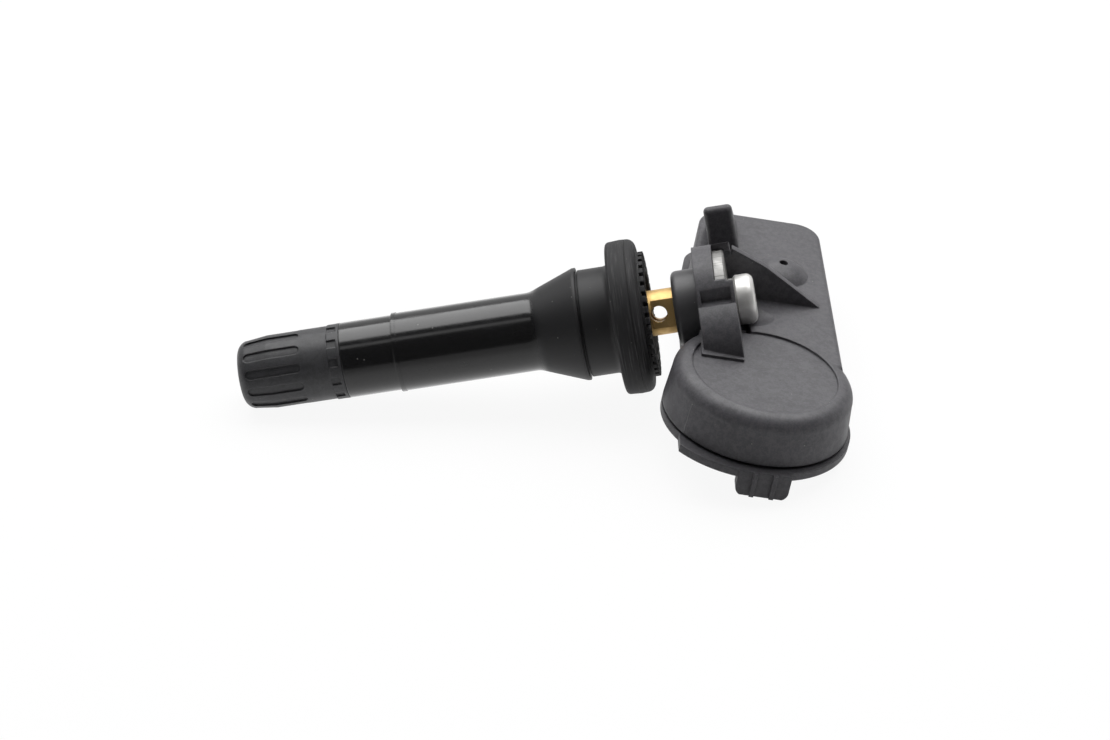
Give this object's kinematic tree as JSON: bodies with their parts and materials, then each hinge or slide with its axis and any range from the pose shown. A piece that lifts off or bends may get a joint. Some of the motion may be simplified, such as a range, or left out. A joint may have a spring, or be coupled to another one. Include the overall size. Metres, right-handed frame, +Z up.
{
  "type": "tyre pressure sensor",
  "caption": "Snap-in tyre pressure sensor: rubber valve with brass stem, core and dust cap, and a dark moulded sensor body screwed to its tail.",
  "frame": {"origin": "Middle of the rubber rim groove, on the valve axis, where the wheel grips the part.", "axes": "The part lies as it rests on a table: +Z up, +X from the dust cap to the sensor body in the upright plane of the valve axis, +Y along the sensor body away from its round battery housing. The valve axis rises 8.65 degrees towards +X."},
  "size_m": [0.0748, 0.0516, 0.0207],
  "materials": {
    "valve_rubber": "satin",
    "stem_brass": "satin",
    "core_brass": "satin",
    "seal_rubber": "matte",
    "spring_steel": "satin",
    "cap_plastic": "satin",
    "body_plastic": "matte",
    "cover_plastic": "matte",
    "plated_steel": "bright",
    "cell_steel": "bright",
    "strap_nickel": "satin",
    "board_laminate": "satin",
    "chip_plastic": "matte",
    "ferrite": "matte",
    "copper": "satin"
  },
  "bodies": {
    "valve_unit": {"rubber_valve": "valve_rubber", "brass_stem": "stem_brass", "core_plug": "core_brass", "core_gasket": "seal_rubber", "core_spring": "spring_steel", "sensor_housing": "body_plastic", "base_cover": "cover_plastic", "clamp_plate": "plated_steel", "stem_screw": "plated_steel", "coin_cell": "cell_steel", "positive_strap": "strap_nickel", "negative_strap": "strap_nickel", "circuit_board": "board_laminate", "sensor_chip": "chip_plastic", "port_seal": "seal_rubber", "coil_core": "ferrite", "coil_winding": "copper", "crystal": "strap_nickel", "capacitors": "ferrite", "antenna": "copper"},
    "cap_liner": {"cap_seal": "seal_rubber"},
    "cap": {"valve_cap": "cap_plastic"},
    "pin": {"core_pin": "core_brass", "core_seal": "seal_rubber"}
  },
  "joints": [
    {"name": "cap_turn", "type": "hinge", "parent": "cap_liner", "child": "cap", "pos_m": [-0.03757, 0, -0.00571], "axis": [-0.9886, 0, -0.1504], "continuous": true},
    {"name": "cap_lift", "type": "slide", "parent": "valve_unit", "child": "cap_liner", "axis": [-0.9886, 0, -0.1504], "range_m": [0, 0.01032]},
    {"name": "pin_press", "type": "slide", "parent": "valve_unit", "child": "pin", "axis": [0.9886, 0, 0.1504], "range_m": [0, 0.0015], "stiffness_N_per_m": 600, "springref_m": -0.0005, "deforming": ["core_spring"]}
  ]
}
